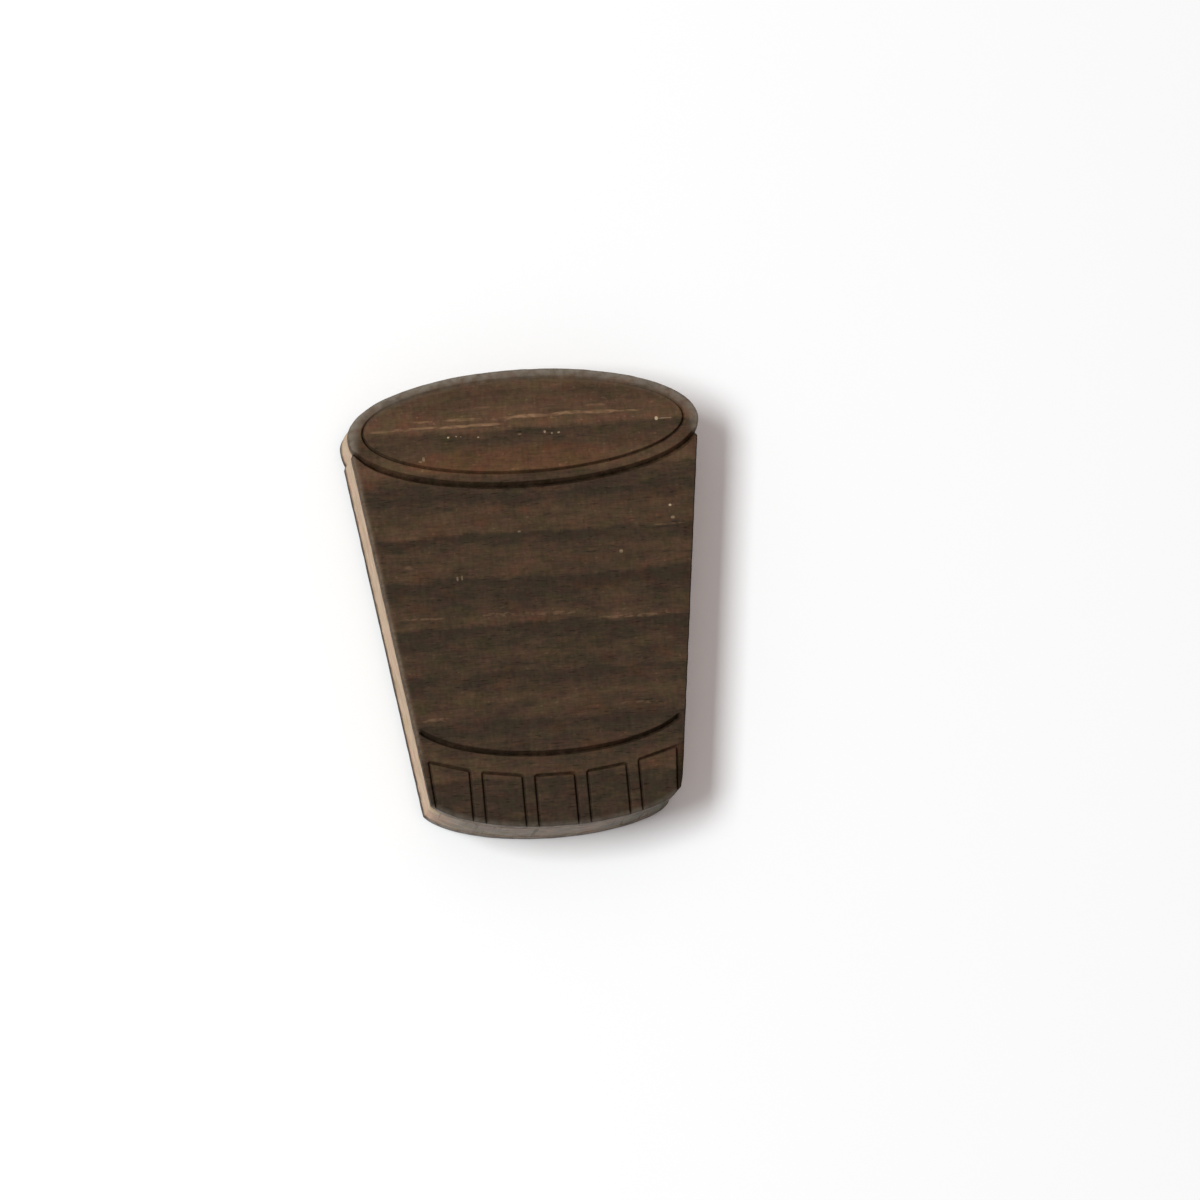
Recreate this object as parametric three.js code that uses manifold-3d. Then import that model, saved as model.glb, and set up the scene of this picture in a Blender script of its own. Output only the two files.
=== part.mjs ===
// A flat wooden game token, laser cut from thin walnut-faced plywood to the outline of a tumbler.
// It lies on its back veneer: +Z leaves the engraved face and +Y runs from the foot to the mouth.
// The origin is on the resting face, midway along the width and the height.

import * as THREE from 'three';
import { mergeVertices } from 'three/addons/utils/BufferGeometryUtils.js';
import Module from 'manifold-3d';

const wasm = await Module();
wasm.setup();

// ---- Board: five layers glued face to face, millimetres ----
const VENEER_THICKNESS = 0.5;
const GLUE_THICKNESS = 0.1;
const CORE_THICKNESS = 2.0;

// ---- Outline of the tumbler ----
const TOKEN_HEIGHT = 20.0;
const MOUTH_HALF_WIDTH = 7.62;
const MOUTH_HALF_DEPTH = 2.53;
const MOUTH_Y = TOKEN_HEIGHT / 2 - MOUTH_HALF_DEPTH;
const NOTCH_HALF_WIDTH = 7.45;
const NOTCH_DROP = 0.69;
const SHOULDER_HALF_WIDTH = 7.52;
const SHOULDER_DROP = 0.85;
const FOOT_HALF_WIDTH = 5.45;
const FOOT_CURVE_HALF_WIDTH = 5.68;
const FOOT_CURVE_DEPTH = 1.81;
const FOOT_CURVE_Y = FOOT_CURVE_DEPTH - TOKEN_HEIGHT / 2;
const FOOT_CORNER_ANGLE = Math.acos(FOOT_HALF_WIDTH / FOOT_CURVE_HALF_WIDTH);

// ---- Engraving: lines burnt into the face veneer ----
const THIN_LINE_WIDTH = 0.15;
const THIN_LINE_DEPTH = 0.22;
const BOLD_LINE_DEPTH = 0.3;

const INNER_RIM_HALF_WIDTH = 6.98;
const INNER_RIM_HALF_DEPTH = 2.05;
const INNER_RIM_Y = MOUTH_Y + 0.07;

const LIP_LINE_WIDTH = 0.28;
const LIP_LINE_START_WIDTH = 0.12;
const LIP_LINE_TAPER = 0.1;
const LIP_LINE_HALF_WIDTH = 7.5;
const LIP_LINE_HALF_DEPTH = 2.25;
const LIP_LINE_Y = MOUTH_Y - 0.285;
const LIP_LINE_STRAIGHT_X = 7.1;

const BASE_LINE_WIDTH = 0.24;
const BASE_LINE_HALF_WIDTH = 6.08;
const BASE_LINE_HALF_DEPTH = 2.09;
const BASE_LINE_Y = -4.74;
const BASE_LINE_END_X = 5.55;

const PANEL_COUNT = 5;
const PANEL_PITCH = 2.265;
const PANEL_WIDTH = 1.72;
const PANEL_TOP_Y = 2.22 - TOKEN_HEIGHT / 2;
const PANEL_TOP_RADIUS = 16.5;
const PANEL_CORNER = 0.16;
const PANEL_LENGTH = 3.6;
const OUTER_PANEL_LEAN = 0.075;

// ---- Fineness of the curves, and how far a cutting tool stands clear of the face ----
const CURVE_SEGMENTS = 32;
const GROOVE_SEGMENTS = 72;
const TOOL_CLEARANCE = 0.5;

// The tumbler seen a little from above: an elliptical mouth, straight tapering walls and a
// curved foot, with a small nick on each side where the lip line runs out over the edge.
function tumblerOutline() {
  const notchY = MOUTH_Y - NOTCH_DROP;
  const shoulderY = MOUTH_Y - SHOULDER_DROP;
  const footCornerY = FOOT_CURVE_Y - FOOT_CURVE_DEPTH * Math.sin(FOOT_CORNER_ANGLE);
  const outline = new THREE.Shape();
  outline.absellipse(0, MOUTH_Y, MOUTH_HALF_WIDTH, MOUTH_HALF_DEPTH, 0, Math.PI);
  outline.quadraticCurveTo(-MOUTH_HALF_WIDTH, MOUTH_Y - NOTCH_DROP / 2, -NOTCH_HALF_WIDTH, notchY);
  outline.lineTo(-SHOULDER_HALF_WIDTH, shoulderY);
  outline.lineTo(-FOOT_HALF_WIDTH, footCornerY);
  outline.absellipse(
    0, FOOT_CURVE_Y, FOOT_CURVE_HALF_WIDTH, FOOT_CURVE_DEPTH,
    Math.PI + FOOT_CORNER_ANGLE, 2 * Math.PI - FOOT_CORNER_ANGLE,
  );
  outline.lineTo(SHOULDER_HALF_WIDTH, shoulderY);
  outline.lineTo(NOTCH_HALF_WIDTH, notchY);
  outline.quadraticCurveTo(MOUTH_HALF_WIDTH, MOUTH_Y - NOTCH_DROP / 2, MOUTH_HALF_WIDTH, MOUTH_Y);
  return outline;
}

// The outline of a burnt line: both sides of a row of points, which widthAt spaces apart.
function lineOutline(points, widthAt, closed = false) {
  const count = points.length;
  const neighbour = (i) => (closed ? (i + count) % count : THREE.MathUtils.clamp(i, 0, count - 1));
  const leftSide = [];
  const rightSide = [];
  points.forEach((point, i) => {
    const along = points[neighbour(i + 1)].clone().sub(points[neighbour(i - 1)]).normalize();
    const across = new THREE.Vector2(-along.y, along.x);
    const halfWidth = widthAt(i / (count - 1)) / 2;
    leftSide.push(point.clone().addScaledVector(across, halfWidth));
    rightSide.push(point.clone().addScaledVector(across, -halfWidth));
  });
  if (closed) {
    const ring = new THREE.Shape(rightSide);
    ring.holes.push(new THREE.Path(leftSide));
    return ring;
  }
  return new THREE.Shape([...leftSide, ...rightSide.reverse()]);
}

// The thin ellipse that marks the inside of the mouth.
function innerRimLine() {
  const curve = new THREE.EllipseCurve(0, INNER_RIM_Y, INNER_RIM_HALF_WIDTH, INNER_RIM_HALF_DEPTH);
  const points = curve.getPoints(2 * GROOVE_SEGMENTS).slice(0, -1);
  return lineOutline(points, () => THIN_LINE_WIDTH, true);
}

// The bold line under the lip. It runs straight out through the nick at each end, and at the
// left it starts fine and soon reaches its full width.
function lipLine() {
  const endAngle = Math.acos(LIP_LINE_STRAIGHT_X / LIP_LINE_HALF_WIDTH);
  const curve = new THREE.EllipseCurve(
    0, LIP_LINE_Y, LIP_LINE_HALF_WIDTH, LIP_LINE_HALF_DEPTH,
    Math.PI + endAngle, 2 * Math.PI - endAngle,
  );
  const points = curve.getPoints(GROOVE_SEGMENTS);
  const rightTurn = points[points.length - 1];
  const rightNick = new THREE.Vector2(NOTCH_HALF_WIDTH, MOUTH_Y - NOTCH_DROP);
  const rightEnd = rightTurn.clone().lerp(rightNick, 2);
  const leftEnd = new THREE.Vector2(-rightEnd.x, rightEnd.y);
  const widthAt = (fraction) => THREE.MathUtils.lerp(
    LIP_LINE_START_WIDTH, LIP_LINE_WIDTH, Math.min(fraction / LIP_LINE_TAPER, 1),
  );
  return lineOutline([leftEnd, ...points, rightEnd], widthAt);
}

// The bold line above the panels, which stops short of both walls.
function baseLine() {
  const endAngle = Math.acos(BASE_LINE_END_X / BASE_LINE_HALF_WIDTH);
  const curve = new THREE.EllipseCurve(
    0, BASE_LINE_Y, BASE_LINE_HALF_WIDTH, BASE_LINE_HALF_DEPTH,
    Math.PI + endAngle, 2 * Math.PI - endAngle,
  );
  return lineOutline(curve.getPoints(GROOVE_SEGMENTS), () => BASE_LINE_WIDTH);
}

// One facet of the thick glass foot: three sides of a frame that runs out over the foot's edge.
function panelLine(index) {
  const step = index - (PANEL_COUNT - 1) / 2;
  const topAt = (x) => {
    const sagitta = PANEL_TOP_RADIUS - Math.sqrt(PANEL_TOP_RADIUS ** 2 - x ** 2);
    return PANEL_TOP_Y + sagitta;
  };
  const isOutermost = (side) => step * side === (PANEL_COUNT - 1) / 2;
  const leanOf = (side) => (isOutermost(side) ? -side * OUTER_PANEL_LEAN : 0);
  const corner = (side) => {
    const x = step * PANEL_PITCH + (side * PANEL_WIDTH) / 2;
    return new THREE.Vector2(x, topAt(x));
  };
  const left = corner(-1);
  const right = corner(1);
  const down = (from, side, length) => new THREE.Vector2(from.x + leanOf(side) * length, from.y - length);
  const topLine = right.clone().sub(left).normalize();

  const path = new THREE.Path();
  const leftStart = down(left, -1, PANEL_LENGTH);
  const leftTurn = down(left, -1, PANEL_CORNER);
  const topStart = left.clone().addScaledVector(topLine, PANEL_CORNER);
  const topEnd = right.clone().addScaledVector(topLine, -PANEL_CORNER);
  const rightTurn = down(right, 1, PANEL_CORNER);
  const rightEnd = down(right, 1, PANEL_LENGTH);
  path.moveTo(leftStart.x, leftStart.y);
  path.lineTo(leftTurn.x, leftTurn.y);
  path.quadraticCurveTo(left.x, left.y, topStart.x, topStart.y);
  path.lineTo(topEnd.x, topEnd.y);
  path.quadraticCurveTo(right.x, right.y, rightTurn.x, rightTurn.y);
  path.lineTo(rightEnd.x, rightEnd.y);
  return lineOutline(path.getPoints(6), () => THIN_LINE_WIDTH);
}

// A flat plate of the given outline, from one height to another.
function plate(outline, bottom, top, curveSegments = CURVE_SEGMENTS) {
  const geometry = new THREE.ExtrudeGeometry(outline, {
    depth: top - bottom,
    bevelEnabled: false,
    curveSegments,
  });
  return geometry.translate(0, 0, bottom);
}

function toSolid(geometry) {
  const bare = geometry.clone();
  bare.deleteAttribute('normal');
  bare.deleteAttribute('uv');
  const merged = mergeVertices(bare);
  return new wasm.Manifold(new wasm.Mesh({
    numProp: 3,
    vertProperties: new Float32Array(merged.attributes.position.array),
    triVerts: new Uint32Array(merged.index.array),
  }));
}

function toGeometry(solid) {
  const mesh = solid.getMesh();
  const geometry = new THREE.BufferGeometry();
  geometry.setAttribute('position', new THREE.BufferAttribute(mesh.vertProperties, 3));
  geometry.setIndex(new THREE.BufferAttribute(mesh.triVerts, 1));
  geometry.computeVertexNormals();
  return geometry;
}

// The face veneer, with every line sunk part of the way through it.
function engravedVeneer(bottom, top) {
  const grooves = [
    { outline: innerRimLine(), depth: THIN_LINE_DEPTH },
    { outline: lipLine(), depth: BOLD_LINE_DEPTH },
    { outline: baseLine(), depth: BOLD_LINE_DEPTH },
  ];
  for (let index = 0; index < PANEL_COUNT; index += 1) {
    grooves.push({ outline: panelLine(index), depth: THIN_LINE_DEPTH });
  }
  const veneer = grooves.reduce((solid, { outline, depth }) => {
    const tool = toSolid(plate(outline, top - depth, top + TOOL_CLEARANCE));
    return solid.subtract(tool);
  }, toSolid(plate(tumblerOutline(), bottom, top)));
  return toGeometry(veneer);
}

const plainLayer = (bottom, top) => plate(tumblerOutline(), bottom, top);

// ---- The board, from the table up ----
const layers = [
  {
    name: 'back_veneer',
    thickness: VENEER_THICKNESS,
    build: plainLayer,
    finish: { color: 0x4a3628, roughness: 0.62, metalness: 0 },
  },
  {
    name: 'back_glue_line',
    thickness: GLUE_THICKNESS,
    build: plainLayer,
    finish: { color: 0x6b5138, roughness: 0.5, metalness: 0 },
  },
  {
    name: 'core_ply',
    thickness: CORE_THICKNESS,
    build: plainLayer,
    finish: { color: 0xbaa28f, roughness: 0.8, metalness: 0 },
  },
  {
    name: 'front_glue_line',
    thickness: GLUE_THICKNESS,
    build: plainLayer,
    finish: { color: 0x6b5138, roughness: 0.5, metalness: 0 },
  },
  {
    name: 'face_veneer',
    thickness: VENEER_THICKNESS,
    build: engravedVeneer,
    finish: { color: 0x443529, roughness: 0.55, metalness: 0 },
  },
];

const token = new THREE.Group();
token.name = 'tumbler_token';
let height = 0;
for (const layer of layers) {
  const top = height + layer.thickness;
  const mesh = new THREE.Mesh(
    layer.build(height, top),
    new THREE.MeshStandardMaterial(layer.finish),
  );
  mesh.name = layer.name;
  token.add(mesh);
  height = top;
}

export default token;
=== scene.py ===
import math

import bmesh
import bpy
import numpy as np
from mathutils import Matrix, Vector, geometry, noise


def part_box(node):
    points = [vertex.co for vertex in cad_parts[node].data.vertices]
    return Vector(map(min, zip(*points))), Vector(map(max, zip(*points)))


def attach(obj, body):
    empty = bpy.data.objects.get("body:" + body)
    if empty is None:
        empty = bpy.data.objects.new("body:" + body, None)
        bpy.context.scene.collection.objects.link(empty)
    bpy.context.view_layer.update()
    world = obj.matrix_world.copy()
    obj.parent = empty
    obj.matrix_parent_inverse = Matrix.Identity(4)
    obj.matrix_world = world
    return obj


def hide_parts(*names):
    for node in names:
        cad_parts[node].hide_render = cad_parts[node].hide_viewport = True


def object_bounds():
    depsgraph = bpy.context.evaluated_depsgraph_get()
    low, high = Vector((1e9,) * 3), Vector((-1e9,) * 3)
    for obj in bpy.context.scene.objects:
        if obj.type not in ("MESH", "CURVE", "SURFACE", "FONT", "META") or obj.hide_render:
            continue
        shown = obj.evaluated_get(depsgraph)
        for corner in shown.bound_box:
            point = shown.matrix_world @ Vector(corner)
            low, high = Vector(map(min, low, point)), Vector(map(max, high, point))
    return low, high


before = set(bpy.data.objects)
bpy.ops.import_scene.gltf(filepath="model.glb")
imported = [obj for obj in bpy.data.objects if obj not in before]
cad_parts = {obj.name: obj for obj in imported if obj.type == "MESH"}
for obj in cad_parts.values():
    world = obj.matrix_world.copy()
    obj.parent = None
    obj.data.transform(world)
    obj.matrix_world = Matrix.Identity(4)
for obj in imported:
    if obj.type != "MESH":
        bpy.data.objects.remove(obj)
cad_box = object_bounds()

# ------------------------------------------------------------------------------------------
# Back veneer. A leaf of sliced walnut, half a millimetre thick, that the token lies on. It is
# glued under the core, and the laser that cut the outline left its edge scorched and its
# lower corner a little eaten away.
# ------------------------------------------------------------------------------------------
MM = 0.001
TOUCHING = 1e-7
RING_SPACING = 0.06
VENEER_BITE = 0.015
SCORCH_REACH = 0.35
CORNER_CHIP, CHIP_REACH = 0.16, 0.35
DRY_WOOD_SPECULAR = 0.05
# Height band of the foot's dust and soot, where painted shade and cool fill light are also laid.
FOOT_DIRT_AND_SHADE_TOP, FOOT_DIRT_AND_SHADE_FULL = -8.72, -8.95


def ring_round(node):
    """Points round a layer in millimetres, counter-clockwise, read from its lower edge."""
    layer = bmesh.new()
    layer.from_mesh(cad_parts[node].data)
    bmesh.ops.remove_doubles(layer, verts=layer.verts, dist=TOUCHING)
    layer.normal_update()
    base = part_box(node)[0].z
    following = {}
    for face in layer.faces:
        if abs(face.normal.z) > 0.5:
            continue
        for loop in face.loops:
            start, end = loop.vert, loop.link_loop_next.vert
            if max(start.co.z, end.co.z) < base + TOUCHING:
                following[start] = end
    vert = min(following, key=lambda v: (round(v.co.y, 6), v.co.x))
    corners = []
    while vert in following:
        corners.append(np.array(vert.co.xy) / MM)
        vert = following.pop(vert)
    layer.free()
    ring = []
    for here, there in zip(corners, corners[1:] + corners[:1]):
        steps = max(1, math.ceil(np.linalg.norm(there - here) / RING_SPACING))
        ring.extend(here + (there - here) * step / steps for step in range(steps))
    return np.array(ring)


def move_inward(ring, distance):
    """The ring moved towards its own inside, by one distance or one for each point."""
    along = np.roll(ring, -1, axis=0) - np.roll(ring, 1, axis=0)
    along /= np.linalg.norm(along, axis=1)[:, None]
    inward = np.column_stack([-along[:, 1], along[:, 0]])
    return ring + inward * np.reshape(distance, (-1, 1))


def bites(ring, height, depth, size, seed):
    """How far the cut edge is eaten in at each point of a ring: 0 to depth, in soft hollows."""
    values = [noise.noise(Vector((x / size, y / size, height / size + seed))) for x, y in ring]
    return depth * np.clip(0.5 + np.array(values), 0, 1)


def chip_corner(ring, depth):
    """The ring with the sharp corner at the right end of its foot knocked off."""
    corner = ring[np.argmax(ring @ (1.0, -1.0))]
    away = np.linalg.norm(ring - corner, axis=1)
    return ring + depth * np.exp(-((away / CHIP_REACH) ** 2))[:, None] * (-0.7, 0.7)


def solid_of_rows(name, rows, burns):
    """A closed solid from rings of points, lowest first, with how burnt each ring is."""
    count = len(rows[0])
    faces = []
    for row in range(len(rows) - 1):
        low, high = row * count, (row + 1) * count
        for i in range(count):
            j = (i + 1) % count
            faces.append((low + i, low + j, high + j, high + i))
    faces.append(tuple(reversed(range(count))))
    faces.append(tuple(range((len(rows) - 1) * count, len(rows) * count)))
    mesh = bpy.data.meshes.new(name)
    mesh.from_pydata((np.vstack(rows) * MM).tolist(), [], faces)
    burn = mesh.attributes.new("burn", "FLOAT", "POINT")
    burn.data.foreach_set("value", np.concatenate([np.full(count, b) for b in burns]))
    mesh.shade_smooth()
    mesh.set_sharp_from_angle(angle=math.radians(50))
    piece = bpy.data.objects.new(name, mesh)
    bpy.context.scene.collection.objects.link(piece)
    return piece


def layer_solid(name, node, profile, depth, size, seed):
    """A layer's solid. Each row of its profile is (height, inset, burn): height from 0 at the
    bottom to 1 at the top, inset in millimetres, and how burnt the wood is there."""
    ring = ring_round(node)
    low, high = (corner.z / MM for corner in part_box(node))
    rows = []
    for height, inset, burn in profile:
        z = low + (high - low) * height
        moved = move_inward(ring, inset + bites(ring, z, depth, size, seed))
        moved = chip_corner(moved, CORNER_CHIP)
        rows.append(np.column_stack([moved, np.full(len(ring), z)]))
    return solid_of_rows(name, rows, [burn for height, inset, burn in profile])


def add(tree, kind, inputs=None, **settings):
    """A shader node. Each input is given a value, or an output socket that feeds it."""
    made = tree.nodes.new("ShaderNode" + kind)
    for key, value in settings.items():
        setattr(made, key, value)
    for key, value in (inputs or {}).items():
        if isinstance(value, bpy.types.NodeSocket):
            tree.links.new(value, made.inputs[key])
        else:
            made.inputs[key].default_value = value
    return made


def maths(tree, operation, first, second=0.0, third=0.0):
    """One sum on values."""
    return add(tree, "Math", {0: first, 1: second, 2: third}, operation=operation).outputs[0]


def mix(tree, factor, first, second, blend="MIX"):
    """One colour laid over another."""
    inputs = {0: factor, 6: first, 7: second}
    return add(tree, "Mix", inputs, data_type="RGBA", blend_type=blend).outputs[2]


def spread(tree, value, low, high, to_low=0.0, to_high=1.0):
    """A value eased from one range into another, and held at its ends."""
    inputs = {0: value, 1: low, 2: high, 3: to_low, 4: to_high}
    return add(tree, "MapRange", inputs, interpolation_type="SMOOTHSTEP").outputs[0]


def grain_noise(tree, place, stretch, detail=2.0, shift=0.0):
    """Noise on places in millimetres, with a different number of grains to a millimetre along
    X, Y and Z."""
    scaled = add(tree, "VectorMath", {0: place, 1: stretch}, operation="MULTIPLY").outputs[0]
    moved = add(tree, "VectorMath", {0: scaled, 1: (shift,) * 3}, operation="ADD").outputs[0]
    return add(tree, "TexNoise", {"Vector": moved, "Scale": 1.0, "Detail": detail}).outputs[0]


def new_group(name, inputs, outputs):
    """An empty node group with named sockets, and its input and output nodes."""
    group = bpy.data.node_groups.new(name, "ShaderNodeTree")
    for label, kind in inputs.items():
        group.interface.new_socket(label, in_out="INPUT", socket_type="NodeSocket" + kind)
    for label, kind in outputs.items():
        group.interface.new_socket(label, in_out="OUTPUT", socket_type="NodeSocket" + kind)
    return group, group.nodes.new("NodeGroupInput"), group.nodes.new("NodeGroupOutput")


def give(group, output, values):
    """Joins the results to a group's output sockets."""
    for label, value in values.items():
        group.links.new(value, output.inputs[label])


def use_group(tree, group, inputs):
    """A group placed in a material with its own values."""
    made = tree.nodes.new("ShaderNodeGroup")
    made.node_tree = group
    for label, value in inputs.items():
        if isinstance(value, bpy.types.NodeSocket):
            tree.links.new(value, made.inputs[label])
        else:
            made.inputs[label].default_value = value
    return made


def new_material(name, specular):
    """A material with only its shader, whose steady values are set on the shader itself."""
    material = bpy.data.materials.new(name)
    material.use_nodes = True
    shader = material.node_tree.nodes["Principled BSDF"]
    shader.inputs["Specular IOR Level"].default_value = specular
    return material, material.node_tree, shader


# Where the wood's grain is, in millimetres, with the slow wander of real growth lines.
grain_place, taken, given = new_group(
    "grain_place", {"Wander": "Float"}, {"Place": "Vector", "Across": "Float"}
)
here = add(grain_place, "TexCoord").outputs["Object"]
here = add(grain_place, "VectorMath", {0: here, 1: (1 / MM,) * 3}, operation="MULTIPLY").outputs[0]
slow = maths(grain_place, "SUBTRACT", grain_noise(grain_place, here, (0.22, 0.3, 0.3)), 0.5)
quick = maths(grain_place, "SUBTRACT", grain_noise(grain_place, here, (1.1, 1.0, 1.0), 4.0), 0.5)
ragged = grain_noise(grain_place, here, (3.2, 1.5, 1.0), 3.0, 5.0)
ragged = maths(grain_place, "SUBTRACT", ragged, 0.5)
wander = maths(grain_place, "MULTIPLY_ADD", quick, 0.8, slow)
wander = maths(grain_place, "MULTIPLY_ADD", ragged, 0.5, wander)
wander = maths(grain_place, "MULTIPLY", wander, taken.outputs["Wander"])
level = add(grain_place, "SeparateXYZ", {0: here}).outputs["Y"]
give(grain_place, given, {"Place": here, "Across": maths(grain_place, "ADD", level, wander)})

# Sliced walnut: pale and dark wood mixed by the growth ring, with short fibres, clouds of orange,
# olive, green and mauve, rays across the grain, pale specks and open pores along it.
ORANGE, OLIVE = (1.2, 0.95, 0.84, 1.0), (0.93, 1.03, 0.84, 1.0)
GREENISH, MAUVE = (0.94, 1.04, 0.97, 1.0), (1.04, 0.97, 1.05, 1.0)
DARK_FLECK = (0.5, 0.47, 0.45, 1.0)
walnut_leaf, taken, given = new_group(
    "walnut_leaf",
    {"Place": "Vector", "Ring": "Float", "Pale": "Color", "Dark": "Color", "Pores": "Float"},
    {"Color": "Color", "Roughness": "Float", "Height": "Float"},
)
place = taken.outputs["Place"]


def swing(stretch, detail, shift):
    """Noise in the walnut about zero, from -0.5 to 0.5."""
    level = grain_noise(walnut_leaf, place, stretch, detail, shift)
    return maths(walnut_leaf, "SUBTRACT", level, 0.5)


fibres = swing((2.4, 12.0, 3.0), 4.0, 0.0)
patches = swing((0.7, 2.2, 2.0), 3.0, 3.0)
ring = maths(walnut_leaf, "MULTIPLY_ADD", patches, 0.9, taken.outputs["Ring"])
ring = maths(walnut_leaf, "MULTIPLY_ADD", fibres, 0.55, ring)
ring = add(walnut_leaf, "Clamp", {0: ring, 1: -0.3, 2: 1.25}).outputs[0]
wood = mix(walnut_leaf, ring, taken.outputs["Pale"], taken.outputs["Dark"])
for stretch, shift, strength in (((0.8, 1.3, 1.5), 19.0, 0.75), ((2.5, 3.5, 4.0), 37.0, 0.35)):
    clouds = grain_noise(walnut_leaf, place, stretch, 2.0, shift)
    orange_here = spread(walnut_leaf, clouds, 0.48, 0.78, 0.0, strength)
    wood = mix(walnut_leaf, orange_here, wood, ORANGE, "MULTIPLY")
    olive_here = spread(walnut_leaf, clouds, 0.52, 0.25, 0.0, strength)
    wood = mix(walnut_leaf, olive_here, wood, OLIVE, "MULTIPLY")
mottling = grain_noise(walnut_leaf, place, (1.8, 3.2, 3.0), 3.0, 71.0)
wood = mix(walnut_leaf, spread(walnut_leaf, mottling, 0.3, 0.7), wood, GREENISH, "MULTIPLY")
wood = mix(walnut_leaf, spread(walnut_leaf, mottling, 0.7, 0.3), wood, MAUVE, "MULTIPLY")
streaky = maths(walnut_leaf, "MULTIPLY_ADD", swing((1.6, 22.0, 3.0), 2.0, 7.0), 0.45, 1.0)
streaky = maths(walnut_leaf, "MULTIPLY_ADD", swing((7.0, 2.0, 2.0), 2.0, 11.0), 0.55, streaky)
streaky = maths(walnut_leaf, "MULTIPLY_ADD", swing((6.0, 6.0, 4.0), 2.0, 43.0), 0.45, streaky)
specks = grain_noise(walnut_leaf, place, (4.5, 7.0, 4.0), 1.0, 53.0)
specks = spread(walnut_leaf, specks, 0.66, 0.78)
specks = maths(walnut_leaf, "MULTIPLY", specks, spread(walnut_leaf, ring, 1.1, 0.5, 0.2, 0.5))
streaky = maths(walnut_leaf, "ADD", streaky, specks)
tone = add(walnut_leaf, "CombineColor", {0: streaky, 1: streaky, 2: streaky}).outputs[0]
wood = mix(walnut_leaf, 1.0, wood, tone, "MULTIPLY")
pore_noise = grain_noise(walnut_leaf, place, (2.2, 15.0, 4.0), 1.0, 31.0)
pores = spread(walnut_leaf, pore_noise, 0.63, 0.72)
pores = maths(walnut_leaf, "MULTIPLY", pores, spread(walnut_leaf, ring, 0.5, 1.0, 0.35, 1.0))
pores = maths(walnut_leaf, "MULTIPLY", pores, taken.outputs["Pores"])
wood = mix(walnut_leaf, pores, wood, DARK_FLECK, "MULTIPLY")
height = maths(walnut_leaf, "SUBTRACT", maths(walnut_leaf, "MULTIPLY", fibres, 0.35), pores)
roughness = maths(walnut_leaf, "MULTIPLY_ADD", fibres, 0.2, 0.62)
give(walnut_leaf, given, {"Color": wood, "Roughness": roughness, "Height": height})

# What the laser did to wood: it darkens in a soft halo, and turns to dull char where it is cut.
laser_scorch, taken, given = new_group(
    "laser_scorch",
    {"Place": "Vector", "Color": "Color", "Burn": "Float", "Toast": "Color", "Char": "Color"},
    {"Color": "Color", "Char": "Float", "Height": "Float"},
)
place = taken.outputs["Place"]
ripple = grain_noise(laser_scorch, place, (9.0, 9.0, 0.6), 3.0, 5.0)
uneven = maths(laser_scorch, "MULTIPLY_ADD", maths(laser_scorch, "SUBTRACT", ripple, 0.5), 0.5,
               taken.outputs["Burn"])
halo = spread(laser_scorch, uneven, 0.05, 0.6)
char = spread(laser_scorch, uneven, 0.45, 1.05)
burnt = mix(laser_scorch, halo, taken.outputs["Color"], mix(
    laser_scorch, 1.0, taken.outputs["Color"], taken.outputs["Toast"], "MULTIPLY"))
burnt = mix(laser_scorch, char, burnt, taken.outputs["Char"])
give(laser_scorch, given, {
    "Color": burnt,
    "Char": char,
    "Height": maths(laser_scorch, "MULTIPLY", ripple, char),
})


def ring_levels(tree, across, rings, height):
    """The growth rings as a ramp over the leaf, from its lower edge to its upper one. Each ring
    is (level of its dark line, darkness there, darkness of the pale wood just above it, darkness
    that it has faded to 0.8 mm below it)."""
    stops = []
    for level, dark, pale, faded in rings:
        stops += [(level + 0.2, pale), (level, dark), (level - 0.8, faded)]
    share = add(tree, "MapRange", {0: across, 1: -height / 2, 2: height / 2}).outputs[0]
    ramp = add(tree, "ValToRGB", {0: share})
    elements = ramp.color_ramp.elements
    stops.sort()
    for element, (place_on_leaf, value) in zip(list(elements), (stops[0], stops[-1])):
        element.position = place_on_leaf / height + 0.5
        element.color = (value, value, value, 1.0)
    for place_on_leaf, value in stops[1:-1]:
        element = elements.new(place_on_leaf / height + 0.5)
        element.color = (value, value, value, 1.0)
    return ramp.outputs["Color"]


def walnut(name, rings, pale, dark, decorate=None):
    """Walnut veneer with its own growth rings, burnt where the mesh says so."""
    material, tree, shader = new_material(name, specular=DRY_WOOD_SPECULAR)
    grain = use_group(tree, grain_place, {"Wander": 0.45})
    height = (cad_box[1][1] - cad_box[0][1]) / MM
    leaf = use_group(tree, walnut_leaf, {
        "Place": grain.outputs["Place"],
        "Ring": ring_levels(tree, grain.outputs["Across"], rings, height),
        "Pale": pale,
        "Dark": dark,
        "Pores": 0.8,
    })
    colour = leaf.outputs["Color"]
    if decorate:
        colour = decorate(tree, grain, colour)
    scorched = use_group(tree, laser_scorch, {
        "Place": grain.outputs["Place"],
        "Color": colour,
        "Burn": add(tree, "Attribute", attribute_name="burn").outputs["Fac"],
        "Toast": (0.5, 0.46, 0.42, 1.0),
        "Char": (0.0125, 0.0098, 0.0068, 1.0),
    })
    tree.links.new(scorched.outputs["Color"], shader.inputs["Base Color"])
    rough = maths(tree, "MULTIPLY_ADD", scorched.outputs["Char"], 0.25, leaf.outputs["Roughness"])
    tree.links.new(rough, shader.inputs["Roughness"])
    relief = maths(tree, "ADD", leaf.outputs["Height"], scorched.outputs["Height"])
    bump = add(tree, "Bump", {"Height": relief, "Strength": 0.5, "Distance": 0.02 * MM})
    tree.links.new(bump.outputs["Normal"], shader.inputs["Normal"])
    return material
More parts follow.
